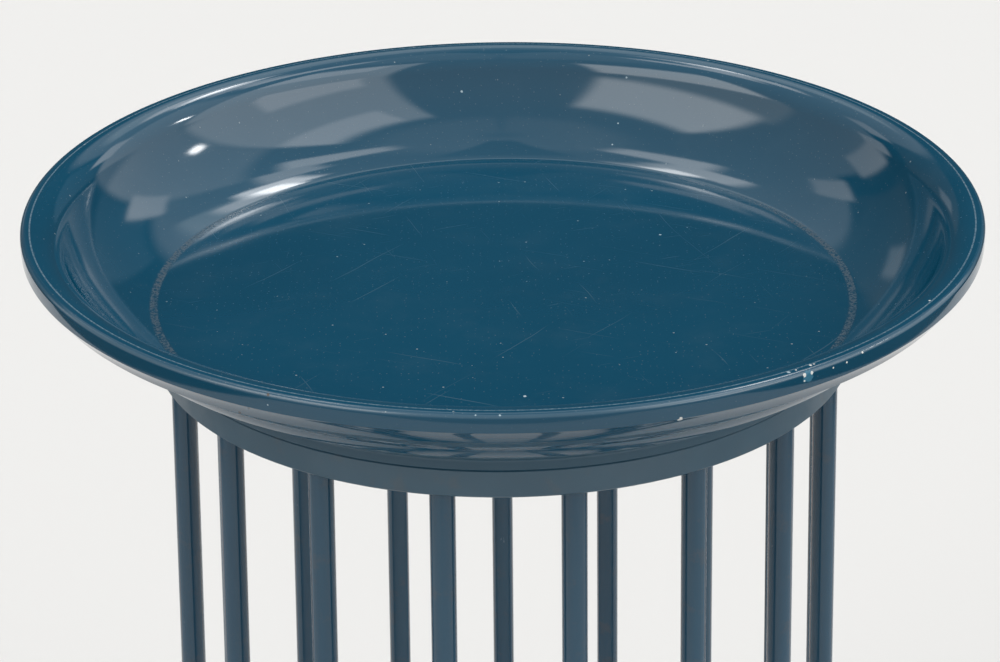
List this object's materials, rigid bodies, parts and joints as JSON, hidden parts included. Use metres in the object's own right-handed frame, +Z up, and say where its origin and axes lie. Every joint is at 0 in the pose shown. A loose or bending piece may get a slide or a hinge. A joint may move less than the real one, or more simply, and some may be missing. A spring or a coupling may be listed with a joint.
{
  "type": "bird bath",
  "caption": "Shallow round lacquered dish with a flared rim that lifts off a collar ring on a cage of slim round rods, with a base ring on rubber feet.",
  "frame": {"origin": "on the ground, on the dish's vertical axis", "axes": "+Z up along the dish's axis; +Y towards the back, where one rod stands exactly on the axis; the front of the pictured view is -Y"},
  "size_m": [0.44, 0.44, 0.68],
  "materials": {
    "dish_lacquer": "high-gloss petrol-blue lacquer over a white ground, with fine scratches, dust and small white chips",
    "satin_lacquer": "satin petrol-blue lacquer",
    "rod_lacquer": "semi-gloss petrol-blue lacquer, brushed on, with small rubs",
    "rubber": "matt black rubber",
    "stainless": "turned stainless steel, dull"
  },
  "bodies": {
    "stand": {"seat_gasket": "rubber", "collar_ring": "satin_lacquer", "collar_screws": "stainless", "rod_1": "rod_lacquer", "rod_2": "rod_lacquer", "rod_3": "rod_lacquer", "rod_4": "rod_lacquer", "rod_5": "rod_lacquer", "rod_6": "rod_lacquer", "rod_7": "rod_lacquer", "rod_8": "rod_lacquer", "rod_9": "rod_lacquer", "rod_10": "rod_lacquer", "rod_11": "rod_lacquer", "rod_12": "rod_lacquer", "rod_13": "rod_lacquer", "rod_14": "rod_lacquer", "rod_15": "rod_lacquer", "rod_16": "rod_lacquer", "rod_17": "rod_lacquer", "base_ring": "satin_lacquer", "base_screws": "stainless", "foot_1": "rubber", "foot_2": "rubber", "foot_3": "rubber", "foot_4": "rubber", "foot_5": "rubber", "foot_6": "rubber"},
    "dish": {"dish": "dish_lacquer"}
  },
  "joints": [
    {"name": "dish_lift", "type": "slide", "parent": "stand", "child": "dish", "axis": [0, 0, 1], "range_m": [0, 0.12]}
  ]
}
